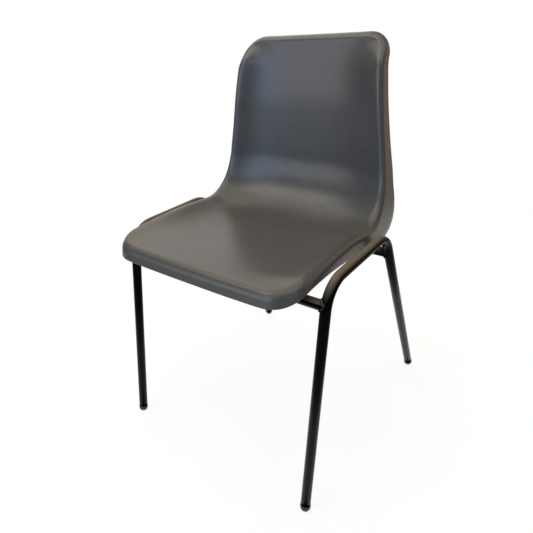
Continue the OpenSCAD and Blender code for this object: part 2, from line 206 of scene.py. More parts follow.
def spark_eroded_polypropylene():
    material, tree, shader, place = new_material("charcoal_polypropylene")
    grain = add(tree, "ShaderNodeTexNoise", {"Vector": place, "Scale": 1 / (GRAIN_MM * MM),
                                             "Detail": 2.0, "Roughness": 0.6}).outputs["Fac"]
    mottle = add(tree, "ShaderNodeTexNoise", {"Vector": place, "Scale": 1 / (MOTTLE_MM * MM),
                                              "Detail": 3.0}).outputs["Fac"]
    flow = add(tree, "ShaderNodeTexNoise", {"Vector": place, "Scale": 1 / (FLOW_MM * MM),
                                            "Detail": 2.0}).outputs["Fac"]
    tone = add(tree, "ShaderNodeMix", {"Factor": mottle, MIX_A: linear(CHARCOALS[0]),
                                       MIX_B: linear(CHARCOALS[1])}, data_type="RGBA")
    # Painted shade and highlight: the grain darkens the tone in its hollows and lightens it on its
    # peaks
    painted_grain_shade = add(tree, "ShaderNodeMapRange", {"Value": grain, "From Min": NOISE_LOW,
                                            "From Max": NOISE_HIGH, "To Min": PIT_PAINTED_SHADE,
                                            "To Max": PEAK_PAINTED_HIGHLIGHT})
    tone_with_painted_shade = add(tree, "ShaderNodeVectorMath", {0: tone.outputs[MIX_OUT], 1: painted_grain_shade.outputs[0]},
                   operation="MULTIPLY")
    sheen = add(tree, "ShaderNodeMapRange", {"Value": flow, "From Min": NOISE_LOW,
                                             "From Max": NOISE_HIGH, "To Min": SHEEN_LOW,
                                             "To Max": SHEEN_HIGH})
    bump = add(tree, "ShaderNodeBump", {"Height": grain, "Strength": GRAIN_BUMP,
                                        "Distance": GRAIN_DEPTH_MM * MM})
    feed(tree, shader, {"Base Color": tone_with_painted_shade.outputs[0], "Roughness": sheen.outputs[0],
                        "Normal": bump.outputs["Normal"], "IOR": POLYPROPYLENE_IOR})
    return material


shell_plastic = spark_eroded_polypropylene()
print("material:", shell_plastic.name)

# %% [markdown]
# ## Gloss black stove enamel
# The frame is mild steel tube, sprayed with black enamel and baked. Enamel flows out almost level
# before it hardens, so it stays smooth, with a slight waviness, the orange peel, some 2.5 mm from
# crest to crest. What faces up is painted a paler grey-brown, a painted reflection, which is why the
# rails look paler than the legs. Enamel's IOR is about 1.5. In the photograph the legs mirror a dark
# room and not the white that stands behind them, so the specular level is low here, which keeps
# them black.

# %% Material of the frame
PEEL_MM, PEEL_BUMP, PEEL_DEPTH_MM = 2.5, 0.12, 0.1
SCUFF_MM, SCUFF_FROM, SCUFF_TO = 9, 0.55, 0.75   # only the peaks of this noise count as worn
ENAMEL_FRESH, ENAMEL_WORN = "#050607", "#0c0d0e"
ROUGH_FRESH, ROUGH_WORN = 0.08, 0.2
TOP_REFLECTION, TOP_REFLECTION_FROM = "#70675c", 0.35                # painted reflection where the normal's z is above this
ENAMEL_IOR, ENAMEL_SPECULAR = 1.5, 0.02


def black_stove_enamel():
    material, tree, shader, place = new_material("black_stove_enamel")
    peel = add(tree, "ShaderNodeTexNoise", {"Vector": place, "Scale": 1 / (PEEL_MM * MM),
                                            "Detail": 1.0}).outputs["Fac"]
    scuff = add(tree, "ShaderNodeTexNoise", {"Vector": place, "Scale": 1 / (SCUFF_MM * MM),
                                             "Detail": 5.0, "Roughness": 0.7}).outputs["Fac"]
    wear = add(tree, "ShaderNodeMapRange", {"Value": scuff, "From Min": SCUFF_FROM,
                                            "From Max": SCUFF_TO}).outputs[0]
    tone = add(tree, "ShaderNodeMix", {"Factor": wear, MIX_A: linear(ENAMEL_FRESH),
                                       MIX_B: linear(ENAMEL_WORN)}, data_type="RGBA")
    rough = add(tree, "ShaderNodeMapRange", {"Value": wear, "To Min": ROUGH_FRESH,
                                             "To Max": ROUGH_WORN})
    bump = add(tree, "ShaderNodeBump", {"Height": peel, "Strength": PEEL_BUMP,
                                        "Distance": PEEL_DEPTH_MM * MM})
    # Painted reflection: what faces up is mixed towards a pale grey-brown
    normal = add(tree, "ShaderNodeNewGeometry").outputs["Normal"]
    facing_up = add(tree, "ShaderNodeSeparateXYZ", {"Vector": normal}).outputs["Z"]
    painted_top_reflection = add(tree, "ShaderNodeMapRange", {"Value": facing_up, "From Min": TOP_REFLECTION_FROM,
                                               "From Max": 1.0}, interpolation_type="SMOOTHSTEP")
    tone_with_painted_reflection = add(tree, "ShaderNodeMix", {"Factor": painted_top_reflection.outputs[0], MIX_A: tone.outputs[MIX_OUT],
                                        MIX_B: linear(TOP_REFLECTION)}, data_type="RGBA")
    feed(tree, shader, {"Base Color": tone_with_painted_reflection.outputs[MIX_OUT], "Roughness": rough.outputs[0],
                        "Normal": bump.outputs["Normal"], "IOR": ENAMEL_IOR,
                        "Specular IOR Level": ENAMEL_SPECULAR})
    return material


frame_enamel = black_stove_enamel()
print("material:", frame_enamel.name)

# %% [markdown]
# ## Black polyethylene and zinc-plated steel
# The foot caps and the saddle washers are moulded in black polyethylene, which is softer and
# duller than the shell, and scratches paler where it drags on a floor. The screws are steel with
# bright zinc plating, a metal whose fine crystals make its shine uneven.

# %% Materials of the caps, washers and screws
DRAG_MM, DRAG_BUMP, DRAG_DEPTH_MM = 3, 0.2, 0.1
CAP_WHOLE, CAP_SCRATCHED = "#101011", "#232324"
CAP_ROUGH_LOW, CAP_ROUGH_HIGH = 0.4, 0.58
POLYETHYLENE_IOR = 1.51
CRYSTAL_MM, ZINC_PALE, ZINC_DEEP = 0.8, "#c3c6c8", "#a9abab"
ZINC_ROUGH_LOW, ZINC_ROUGH_HIGH = 0.28, 0.42


def black_polyethylene():
    material, tree, shader, place = new_material("black_polyethylene")
    drag = add(tree, "ShaderNodeTexNoise", {"Vector": place, "Scale": 1 / (DRAG_MM * MM),
                                            "Detail": 4.0}).outputs["Fac"]
    tone = add(tree, "ShaderNodeMix", {"Factor": drag, MIX_A: linear(CAP_WHOLE),
                                       MIX_B: linear(CAP_SCRATCHED)}, data_type="RGBA")
    rough = add(tree, "ShaderNodeMapRange", {"Value": drag, "To Min": CAP_ROUGH_LOW,
                                             "To Max": CAP_ROUGH_HIGH})
    bump = add(tree, "ShaderNodeBump", {"Height": drag, "Strength": DRAG_BUMP,
                                        "Distance": DRAG_DEPTH_MM * MM})
    feed(tree, shader, {"Base Color": tone.outputs[MIX_OUT], "Roughness": rough.outputs[0],
                        "Normal": bump.outputs["Normal"], "IOR": POLYETHYLENE_IOR})
    return material


def bright_zinc_plate():
    material, tree, shader, place = new_material("bright_zinc_plate")
    crystal = add(tree, "ShaderNodeTexVoronoi", {"Vector": place,
                                                 "Scale": 1 / (CRYSTAL_MM * MM)}).outputs["Distance"]
    tone = add(tree, "ShaderNodeMix", {"Factor": crystal, MIX_A: linear(ZINC_PALE),
                                       MIX_B: linear(ZINC_DEEP)}, data_type="RGBA")
    rough = add(tree, "ShaderNodeMapRange", {"Value": crystal, "To Min": ZINC_ROUGH_LOW,
                                             "To Max": ZINC_ROUGH_HIGH})
    feed(tree, shader, {"Base Color": tone.outputs[MIX_OUT], "Roughness": rough.outputs[0],
                        "Metallic": 1.0})
    return material


cap_plastic = black_polyethylene()
screw_zinc = bright_zinc_plate()
print("materials:", cap_plastic.name, screw_zinc.name)

# %% [markdown]
# ## Sizes of the frame
# Each side of the frame is one length of 19 mm tube with two bends: front leg, rail, rear leg.
# Its centre line lies in an upright plane, so it is drawn there as points (y, z) and given its x
# at the end. The feet, the rail's height and length and the two bend radii fix the whole line.

# %% The side loop's centre line
TUBE_R, TUBE_WALL = 9.5, 1.5
RAIL_H, RAIL_RISE, RAIL_LEN = 453.0, 7.2, 218.5
FOOT_SPREAD, FRONT_SPLAY = 528.0, 67.6
FRONT_BEND_R, REAR_BEND_R = 52.0, 59.0
SEAT_HALF_W, SIDE_GAP = 213.0, 10.3
LOOP_X = SEAT_HALF_W + SIDE_GAP + TUBE_R

front_foot = Vector((-FOOT_SPREAD / 2, 0))
rear_foot = Vector((FOOT_SPREAD / 2, 0))
front_corner = front_foot + Vector((FRONT_SPLAY, RAIL_H))
rear_corner = front_corner + Vector((RAIL_LEN, RAIL_RISE))
front_leg_up = (front_corner - front_foot).normalized()
rear_leg_up = (rear_corner - rear_foot).normalized()


def round_corner(a, b, c, radius, steps):
    """Points of the arc that rounds corner b of the path a-b-c."""
    to_a, to_c = (a - b).normalized(), (c - b).normalized()
    half = math.acos(to_a.dot(to_c)) / 2
    centre = b + (to_a + to_c).normalized() * radius / math.sin(half)
    start = b + to_a * radius / math.tan(half) - centre
    side = (b - a).x * (c - b).y - (b - a).y * (c - b).x
    sweep = math.copysign(math.pi - 2 * half, side)
    return [centre + Matrix.Rotation(sweep * k / steps, 2) @ start for k in range(steps + 1)]


print("rail corners (y, z):", [tuple(round(c, 1) for c in p) for p in (front_corner, rear_corner)])

# %% [markdown]
# ## Where the frame stands in the CAD model
# The CAD model is centred on its depth, so the lines above have to slide along y by one shift.
# The rear caps tell how far: a cap's box ends where its dome reaches farthest back, which is one
# dome radius behind the dome's centre.

# %% The caps' domes and the shift along y
CAP_R, CAP_FLAT, COLLAR_H = 10.0, 0.8, 5.0
dome_h = CAP_R - CAP_FLAT
front_dome = front_foot + front_leg_up * dome_h / front_leg_up.y
rear_dome = rear_foot + rear_leg_up * dome_h / rear_leg_up.y
front_tube_end = front_dome + front_leg_up * COLLAR_H
rear_tube_end = rear_dome + rear_leg_up * COLLAR_H

low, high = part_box("rear_right_foot")
SHIFT_Y = high.y / MM - (rear_dome.x + CAP_R)


def placed(x, q):
    """Point q (y, z) of the side view, at x, where it lies in the CAD model."""
    return (x, q.x + SHIFT_Y, q.y)


print("shift along y:", round(SHIFT_Y, 3), "mm; loop at x =", round(LOOP_X, 2),
      "mm; CAD cap centred on x =", round((low.x + high.x) / 2 / MM, 2))

# %% [markdown]
# ## The side loops
# A swept tube is rings of points along the centre line. Each ring stands square to the line, with
# the chair's x as one of its axes, so it never twists. A tube that is bent round a former goes
# slightly oval, narrower across the bend, and that changes how the highlight runs over the bend,
# so the rings are flattened a little there. Outside, bore and end rims make one closed surface.

# %% Sweeping the side loops
TUBE_SIDES = 48
BEND_STEPS = 28
BEND_FLATTEN = 0.014


def centre_line():
    """Points of a side loop's centre line, each with its share of bend flattening."""
    line = [(front_tube_end, 0.0)]
    for a, b, c, radius in ((front_foot, front_corner, rear_corner, FRONT_BEND_R),
                            (front_corner, rear_corner, rear_foot, REAR_BEND_R)):
        arc = round_corner(a, b, c, radius, BEND_STEPS)
        line += [(p, math.sin(math.pi * k / BEND_STEPS)) for k, p in enumerate(arc)]
    return line + [(rear_tube_end, 0.0)]


loop_line = centre_line()


def swept_rings(line, x, radius):
    """Rings round the centre line, each of which starts on its +x side."""
    points = []
    for k, (p, bent) in enumerate(line):
        before, after = line[max(k - 1, 0)][0], line[min(k + 1, len(line) - 1)][0]
        along = (after - before).normalized()
        across = Vector((-along.y, along.x)) * radius * (1 - BEND_FLATTEN * bent)
        wide = radius * (1 + BEND_FLATTEN / 2 * bent)
        points += [placed(x + wide * math.cos(a), p + across * math.sin(a))
                   for a in round_angles(TUBE_SIDES)]
    return points


def side_loop(name, x, stands_for):
    outside = swept_rings(loop_line, x, TUBE_R)
    bore = swept_rings(loop_line[::-1], x, TUBE_R - TUBE_WALL)
    # The bore's line runs backwards, which turns its rings the other way, so each is turned back
    turned_back = []
    for first in range(0, len(bore), TUBE_SIDES):
        ring = bore[first:first + TUBE_SIDES]
        turned_back += [ring[0]] + ring[:0:-1]
    faces = ring_faces(2 * len(loop_line), TUBE_SIDES, wrap=True)
    make_piece(name, outside + turned_back, faces, frame_enamel, stands_for)


side_loop("left_loop_tube", -LOOP_X, "left_side_loop")
side_loop("right_loop_tube", LOOP_X, "right_side_loop")

# %% [markdown]
# ## The cross tubes
# Two straight tubes join the loops under the seat. A fitter copes their ends, which means each end
# is cut to the saddle curve where one round tube meets another, and then welds all round. The
# saddle curve needs no boolean: at each angle round the tube, the wall simply ends where it meets
# the loop's surface, and that follows from its distance to the loop's centre line.

# %% Coped cross tubes
FRONT_CROSS_DROP, REAR_CROSS_DROP = 36.0, 52.8
front_cross = front_corner - front_leg_up * FRONT_CROSS_DROP
rear_cross = rear_corner - rear_leg_up * REAR_CROSS_DROP


def line_distance(q):
    """Distance from a point (y, z) to the side loop's centre line."""
    best = None
    for (a, _), (b, _) in zip(loop_line, loop_line[1:]):
        t = min(max((q - a).dot(b - a) / (b - a).length_squared, 0), 1)
        d = (q - a - (b - a) * t).length
        best = d if best is None else min(best, d)
    return best


def saddle_x(q):
    """How far from the chair's middle a cross tube's wall meets the loop at point q."""
    return LOOP_X - math.sqrt(max(TUBE_R ** 2 - line_distance(q) ** 2, 0))


def round_points(place, radius):
    """Points (y, z) of a circle round a cross tube's centre."""
    return [place + Vector((math.cos(a), math.sin(a))) * radius for a in round_angles(TUBE_SIDES)]


def cross_tube(name, place, stands_for):
    outer = round_points(place, TUBE_R)
    inner = round_points(place, TUBE_R - TUBE_WALL)
    reach = [saddle_x(q) for q in outer]
    points = []
    for side, circle in ((-1, outer), (1, outer), (1, inner), (-1, inner)):
        points += [placed(side * r, q) for r, q in zip(reach, circle)]
    faces = ring_faces(4, TUBE_SIDES, wrap=True)
    make_piece(name, points, faces, frame_enamel, stands_for)


cross_tube("front_cross_bar", front_cross, "front_cross_tube")
cross_tube("rear_cross_bar", rear_cross, "rear_cross_tube")

# %% [markdown]
# ## The welds
# A weld bead is a row of overlapping puddles of metal that froze one after the other, so its
# surface is rippled. The bead follows the same saddle curve as the tube's end. A circle is swept
# along it, and its radius swells once for each puddle, about every 2 mm.

# %% Rippled weld beads
BEAD_R = 2.3
RIPPLE_MM, RIPPLE_SHARE = 2.2, 0.1
BEAD_STEPS, BEAD_SIDES = 216, 12


def weld_bead(name, place, side):
    puddles = round(2 * math.pi * TUBE_R / RIPPLE_MM)
    points = []
    for a in round_angles(BEAD_STEPS):
        out = Vector((math.cos(a), math.sin(a)))
        seam = place + out * TUBE_R
        r = BEAD_R * (1 + RIPPLE_SHARE * math.sin(puddles * a))
        points += [placed(side * (saddle_x(seam) + r * math.sin(b)), seam + out * r * math.cos(b))
                   for b in round_angles(BEAD_SIDES)]
    faces = ring_faces(BEAD_STEPS, BEAD_SIDES, wrap=True)
    make_piece(name, points, faces, frame_enamel)


SIDES = (("left", -1), ("right", 1))
CROSSINGS = (("front", front_cross), ("rear", rear_cross))
for end, place in CROSSINGS:
    for word, side in SIDES:
        weld_bead(f"{end}_{word}_weld", place, side)

# %% [markdown]
# ## The foot caps
# Each cap is a round moulding with a plug that pushes up into the tube, a short collar and a dome
# that takes the floor. It is turned round the leg's own line, which leans, and the dome is worn
# flat where it stands: every point that would fall below the floor is set on it.

# %% Turned foot caps
PLUG_LEN, PLUG_CLEAR = 22.0, 0.8
CAP_SIDES, DOME_STEPS = 48, 12
CAP_EDGE, CAP_EDGE_STEPS = 0.7, 4


def cap_profile():
    """Points (radius, height along the leg above the dome's centre) from the dome to the plug."""
    plug_r = TUBE_R - TUBE_WALL - PLUG_CLEAR
    dome = [(CAP_R * math.sin(a), -CAP_R * math.cos(a)) for a in quarter_angles(DOME_STEPS)[1:]]
    edge = [(CAP_R - CAP_EDGE * (1 - math.cos(a)), COLLAR_H - CAP_EDGE * (1 - math.sin(a)))
            for a in quarter_angles(CAP_EDGE_STEPS)]
    return dome + edge + [(plug_r + CAP_EDGE, COLLAR_H), (plug_r, COLLAR_H + CAP_EDGE),
                          (plug_r, COLLAR_H + PLUG_LEN)]


def foot_cap(name, x, dome, leg_up, stands_for):
    side = Vector((leg_up.y, -leg_up.x))
    profile = cap_profile()
    points = []
    for radius, height in profile:
        for a in round_angles(CAP_SIDES):
            q = dome + leg_up * height + side * radius * math.sin(a)
            q.y = max(q.y, 0.0)
            points.append(placed(x + radius * math.cos(a), q))
    points.append((x, dome.x + SHIFT_Y, 0.0))
    points.append(placed(x, dome + leg_up * (COLLAR_H + PLUG_LEN)))
    faces = closed_faces(len(profile), CAP_SIDES)
    make_piece(name, points, faces, cap_plastic, stands_for)


for end, dome, leg_up in (("front", front_dome, front_leg_up), ("rear", rear_dome, rear_leg_up)):
    for word, side in SIDES:
        foot_cap(f"{end}_{word}_cap", side * LOOP_X, dome, leg_up, f"{end}_{word}_foot")

# %% [markdown]
# ## The shell's middle line
# The shell is a sheet that is bent along one line, from the front lip through the seat and up the
# back. Seen from the side that line is straights joined by three arcs. A point of the sheet is
# found by its distance along the line, and stands off it along the line's own normal.

# %% The middle line from lip to top
LIP, DIP = Vector((-275.5, RAIL_H + 3)), Vector((-120.0, RAIL_H - 2))
BEND, BACK = Vector((110.5, RAIL_H - 6.5)), Vector((120.0, RAIL_H + 237))
TOP = Vector((136.0, RAIL_H + 355))
DIP_R, BEND_R, BACK_R = 500.0, 120.0, 500.0
ROLL_R = 12.0
WALL = 4.0
ARC_STEPS = 48
SLOPE_STEP = WALL / 2

middle_path = [LIP - (DIP - LIP).normalized() * ROLL_R]
middle_path += round_corner(LIP, DIP, BEND, DIP_R, ARC_STEPS)
middle_path += round_corner(DIP, BEND, BACK, BEND_R, ARC_STEPS)
middle_path += round_corner(BEND, BACK, TOP, BACK_R, ARC_STEPS)
middle_path += [TOP + (TOP - BACK).normalized() * ROLL_R]
path_s = [-ROLL_R]
for a, b in zip(middle_path, middle_path[1:]):
    path_s.append(path_s[-1] + (b - a).length)
SHELL_LEN = path_s[-1] - ROLL_R


def middle(s):
    """The point (y, z) of the middle line at distance s from the lip."""
    k = 0
    while k < len(path_s) - 2 and path_s[k + 1] < s:
        k += 1
    f = (s - path_s[k]) / (path_s[k + 1] - path_s[k])
    return middle_path[k].lerp(middle_path[k + 1], min(max(f, 0), 1))


def sheet_point(x, s, h):
    """The point of the sheet at x, s, raised by h towards the sitter."""
    along = (middle(s + SLOPE_STEP) - middle(s - SLOPE_STEP)).normalized()
    p = middle(s) + Vector((-along.y, along.x)) * h
    return Vector((x, p.x, p.y))


print("length of the shell along its middle:", round(SHELL_LEN, 1), "mm")

# %% [markdown]
# ## How the section changes along the shell
# Across the chair the sheet is a shallow tray: its rims stand up, roll over and turn down into a
# skirt. All of that changes from lip to top, because the chair narrows upwards and the rims fade
# out at both ends. Nine places along the line say how much of each size is left there, and a
# smooth curve that never overshoots runs through them.

# %% Shares along the shell
PLACE_SHARE = (0, 0.086, 0.307, 0.437, 0.528, 0.62, 0.756, 0.9, 1)
WIDTH_SHARE = (1, 1, 0.985, 0.99, 0.967, 0.935, 0.869, 0.805, 0.77)
RIM_SHARE = (0.02, 0.46, 0.88, 0.8, 0.97, 1.1, 1.04, 1.02, 0.07)
SKIRT_SHARE = (0.72, 0.48, 0.85, 1.2, 1.9, 1.01, 0.74, 0.63, 0.37)
ROLL_SHARE = (1.7, 1.2, 1, 1, 0.85, 0.68, 0.68, 0.74, 1.08)
SPINE_SHARE = 0.27


def knot_slope(table, k):
    """The curve's slope at place k: none at an end or a turn, else between its neighbours'."""
    if k in (0, len(table) - 1):
        return 0.0
    before, after = [(table[i + 1] - table[i]) / (PLACE_SHARE[i + 1] - PLACE_SHARE[i])
                     for i in (k - 1, k)]
    return 0.0 if before * after <= 0 else 2 * before * after / (before + after)


def share_at(table, s):
    """The smooth curve through a table of shares, at distance s along the shell."""
    x = min(max(s / SHELL_LEN, 0), 1)
    k = 0
    while k < len(PLACE_SHARE) - 2 and x >= PLACE_SHARE[k + 1]:
        k += 1
    w = PLACE_SHARE[k + 1] - PLACE_SHARE[k]
    f = (x - PLACE_SHARE[k]) / w
    return (table[k] * (1 + 2 * f) * (1 - f) ** 2 + knot_slope(table, k) * w * f * (1 - f) ** 2
            + table[k + 1] * f * f * (3 - 2 * f) + knot_slope(table, k + 1) * w * f * f * (f - 1))


RIM_RISE, DISH_POWER, CREST_SOFT = 30.0, 3.0, 6.0
SKIRT_DROP, SKIRT_FLARE = 40.0, 1.5


def half_width(s):
    return SEAT_HALF_W * share_at(WIDTH_SHARE, s)


def roll_at(s):
    return ROLL_R * share_at(ROLL_SHARE, s)


def rise(x, s):
    """Height of the sheet above its middle line: a dish that steepens outward up to a soft crest."""
    crest_x = half_width(s) - roll_at(s)

    def softened(inside):
        return inside - CREST_SOFT * (1 - math.exp(-inside / CREST_SOFT))
    f = 1 - softened(max(crest_x - abs(x), 0)) / softened(crest_x)
    return RIM_RISE * share_at(RIM_SHARE, s) * f ** DISH_POWER


print("half width at the lip, bend and top:",
      [round(half_width(SHELL_LEN * f), 1) for f in (0, PLACE_SHARE[4], 1)], "mm")

# %% [markdown]
# ## The rim's outline
# Unrolled flat, the shell would be a long shape with round corners. Its outline is walked once
# round in 320 points, and each point knows which way is inward.

# %% Walking the outline
FRONT_CORNER_R, TOP_CORNER_R = 56.0, 46.0
EDGE_STEPS, CORNER_STEPS, SIDE_STEPS = 16, 16, 96
front_w = half_width(FRONT_CORNER_R)
top_w = half_width(SHELL_LEN - TOP_CORNER_R)


def outline():
    """The right half of the outline from lip to top: (x, s, inward x, inward s)."""
    half = [((front_w - FRONT_CORNER_R) * k / EDGE_STEPS, 0, 0, 1) for k in range(EDGE_STEPS)]
    half += [(front_w - FRONT_CORNER_R * (1 - math.sin(a)), FRONT_CORNER_R * (1 - math.cos(a)),
              -math.sin(a), math.cos(a)) for a in quarter_angles(CORNER_STEPS)[:-1]]
    side_len = SHELL_LEN - FRONT_CORNER_R - TOP_CORNER_R
    for k in range(SIDE_STEPS + 1):
        s = FRONT_CORNER_R + side_len * k / SIDE_STEPS
        lean = (half_width(s + SLOPE_STEP) - half_width(s - SLOPE_STEP)) / (2 * SLOPE_STEP)
        inward = Vector((-1, lean)).normalized()
        half.append((half_width(s), s, inward.x, inward.y))
    half += [(top_w - TOP_CORNER_R * (1 - math.cos(a)),
              SHELL_LEN - TOP_CORNER_R * (1 - math.sin(a)), -math.cos(a), -math.sin(a))
             for a in quarter_angles(CORNER_STEPS)[1:]]
    half += [((top_w - TOP_CORNER_R) * (1 - k / EDGE_STEPS), SHELL_LEN, 0, -1)
             for k in range(1, EDGE_STEPS + 1)]
    return half


half_rim = outline()
rim = half_rim + [(-r[0], r[1], -r[2], r[3]) for r in half_rim[-2:0:-1]]
print("points round the rim:", len(rim))

# %% [markdown]
# ## Rings of the shell
# From each outline point a section runs inward: up the skirt, over the rolled rim and down into
# the dish, to meet its neighbours along a spine in the middle of the chair. Taken together the
# sections make rings, and quads between them give the face that the sitter touches. Rings lie
# close together where the surface turns fast, at the roll and the shoulder.

# %% The sitter's face
SKIRT_ROWS, ROLL_STEPS, DISH_STEPS = 4, 10, 30
DISH_CROWDING = 1.7


def off_rim(r, d, h):
    """The point that lies d inward from rim point r, raised by h."""
    return sheet_point(r[0] + r[2] * d, r[1] + r[3] * d, h)


def spine_at(s):
    """Where on the spine the section from s ends. The spine stops short of the lip and the top."""
    return SHELL_LEN * SPINE_SHARE + (1 - 2 * SPINE_SHARE) * s


def section(r):
    """The points of one section, from the skirt's edge to the spine."""
    roll = roll_at(r[1])
    crest = (r[0] + r[2] * roll, r[1] + r[3] * roll)
    crest_h = rise(*crest)
    skirt_h = SKIRT_DROP * share_at(SKIRT_SHARE, r[1])
    points = []
    for k in range(SKIRT_ROWS):
        f = k / SKIRT_ROWS
        points.append(off_rim(r, -SKIRT_FLARE * (1 - f), crest_h - skirt_h + (skirt_h - roll) * f))
    points += [off_rim(r, roll * (1 - math.cos(a)), crest_h - roll * (1 - math.sin(a)))
               for a in quarter_angles(ROLL_STEPS)]
    for k in range(1, DISH_STEPS + 1):
        f = (k / DISH_STEPS) ** DISH_CROWDING
        x, s = crest[0] * (1 - f), crest[1] + (spine_at(r[1]) - crest[1]) * f
        points.append(sheet_point(x, s, rise(x, s)))
    return points


sections = [section(r) for r in rim]
face_rings = [list(ring) for ring in zip(*sections)]
print("rings on the sitter's face:", len(face_rings))

# %% [markdown]
# ## Wall and edge
# The face alone has no thickness. The moulding's wall is 4 mm, measured square to the surface as
# in the mould, so the underside is the face moved in along its own normals. Where both meet at the
# skirt's edge, four narrow rings round off each of its two corners, because no moulded edge is
# truly sharp and a sharp one would catch no light. The points along the spine are then merged,
# which closes both skins into one solid.

# %% Giving the shell its wall
EDGE_SOFT, EDGE_SOFT_STEPS = 0.9, 3
NORMAL_STEP = WALL / 8
MERGE_MM = 0.002


def sheet_normal(x, s):
    """The sheet's normal at x, s, from its slopes across and along the chair."""
    e = NORMAL_STEP
    across = sheet_point(x + e, s, rise(x + e, s)) - sheet_point(x - e, s, rise(x - e, s))
    along = sheet_point(x, s + e, rise(x, s + e)) - sheet_point(x, s - e, rise(x, s - e))
    return across.cross(along).normalized()


def face_normal(j, i):
    """Normal of the sitter's face at point i of ring j, towards the sitter."""
    if j == len(face_rings) - 1:
        return sheet_normal(0, spine_at(rim[i][1]))
    ring = face_rings[j]
    along_rim = ring[(i + 1) % len(rim)] - ring[i - 1]
    inward = face_rings[j + 1][i] - face_rings[max(j - 1, 0)][i]
    return along_rim.cross(inward).normalized()


under_rings = [[p - face_normal(j, i) * WALL for i, p in enumerate(ring)]
               for j, ring in enumerate(face_rings)]


def edge_rings():
    """Rings that round both corners of the skirt's edge, from the underside to the face."""
    steps = quarter_angles(EDGE_SOFT_STEPS)
    rings = []
    for corner, above, other, turns in (
            (under_rings[0], under_rings[1], face_rings[0], steps),
            (face_rings[0], face_rings[1], under_rings[0], steps[::-1])):
        for a in turns:
            rings.append([p + (q - p).normalized() * EDGE_SOFT * (1 - math.sin(a))
                          + (o - p).normalized() * EDGE_SOFT * (1 - math.cos(a))
                          for p, q, o in zip(corner, above, other)])
    return rings


all_rings = under_rings[:0:-1] + edge_rings() + face_rings[1:]
shell_points = [(p.x, p.y + SHIFT_Y, p.z) for ring in all_rings for p in ring]
shell_faces = [f[::-1] for f in ring_faces(len(all_rings), len(rim))]
shell = make_piece("moulded_shell", shell_points, shell_faces, shell_plastic, "shell")

mesh = bmesh.new()
mesh.from_mesh(shell.data)
bmesh.ops.remove_doubles(mesh, verts=mesh.verts, dist=MERGE_MM * MM)
bmesh.ops.recalc_face_normals(mesh, faces=mesh.faces)
open_edges = sum(not e.is_manifold for e in mesh.edges)
mesh.to_mesh(shell.data)
mesh.free()
print("shell faces:", len(shell.data.polygons), "open edges:", open_edges)

# %% [markdown]
# ## The bosses under the seat
# Four round bosses hang from the shell and sit on the cross tubes like a saddle on a horse. The
# screws bite into them. In the mould a boss meets the wall in a small fillet, so its last rings
# spread outward while they follow the underside, and its foot is hollowed to the tube's radius.

# %% Saddle bosses
FIXING_X, BOSS_R = 120.0, 13.0
SADDLE_DEPTH, SADDLE_GAP = 4.0, 0.1
BOSS_SIDES, FOOT_RINGS = 48, 6
# The fillet's rings from the wall down: radius, and how far each lies under the shell's underside
FILLET = ((18.0, -0.6), (16.2, 0.3), (14.6, 1.5), (13.5, 3.2), (13.0, 5.4))
CLOSING_IN = 12


def underside_z(x, y):
    """Height of the shell's underside above the floor point x, y."""
    s = DIP.x - LIP.x
    for _ in range(CLOSING_IN):
        s += y - sheet_point(x, s, rise(x, s) - WALL).y
    return sheet_point(x, s, rise(x, s) - WALL).z


def saddle_boss(name, x, place):
    points = []
    for radius, drop in FILLET:
        for a in round_angles(BOSS_SIDES):
            px, py = x + radius * math.cos(a), place.x + radius * math.sin(a)
            points.append((px, py + SHIFT_Y, underside_z(px, py) - drop))
    for k in range(FOOT_RINGS, 0, -1):
        radius = BOSS_R * k / FOOT_RINGS
        for a in round_angles(BOSS_SIDES):
            off = radius * math.sin(a)
            hollow = math.sqrt(max((TUBE_R + SADDLE_GAP) ** 2 - off ** 2, 0))
            points.append((x + radius * math.cos(a), place.x + off + SHIFT_Y,
                           place.y + max(hollow, TUBE_R - SADDLE_DEPTH)))
    points.append((x, place.x + SHIFT_Y, underside_z(x, place.x) - FILLET[0][1]))
    points.append((x, place.x + SHIFT_Y, place.y + TUBE_R + SADDLE_GAP))
    faces = closed_faces(len(FILLET) + FOOT_RINGS, BOSS_SIDES)
    make_piece(name, points, faces, shell_plastic)


for end, place in CROSSINGS:
    for word, side in SIDES:
        saddle_boss(f"{end}_{word}_boss", side * FIXING_X, place)

# %% [markdown]
# ## Screws and washers
# The CAD screws and washers already have the right shape, so they stay as they are and only get
# their finish.

# %% Finishes for the CAD nodes that stay
for node_name, material in (("fixing_screws", screw_zinc), ("saddle_washers", cap_plastic)):
    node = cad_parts[node_name]
    if not node.material_slots:
        node.data.materials.append(material)
    for material_slot in node.material_slots:
        material_slot.material = material
    print(node_name, "->", material.name)

# %% [markdown]
# ## Floor
# The photograph shows the chair cut out on white. The floor here is a pale matt disc that keeps
# the chair's soft shadow and fades out to the white world at its edge. For the camera and for
# reflections it also glows a little by itself, so that it reads as white without more light on
# the chair.

# %% A pale floor that keeps the shadow
FLOOR_R, FLOOR_FADE = 1.9, 0.9   # metres from the middle: where the disc ends and begins to fade
FLOOR_SIDES = 96
OWN_LIGHT_SHARE, OWN_LIGHT = 0.78, 1.12


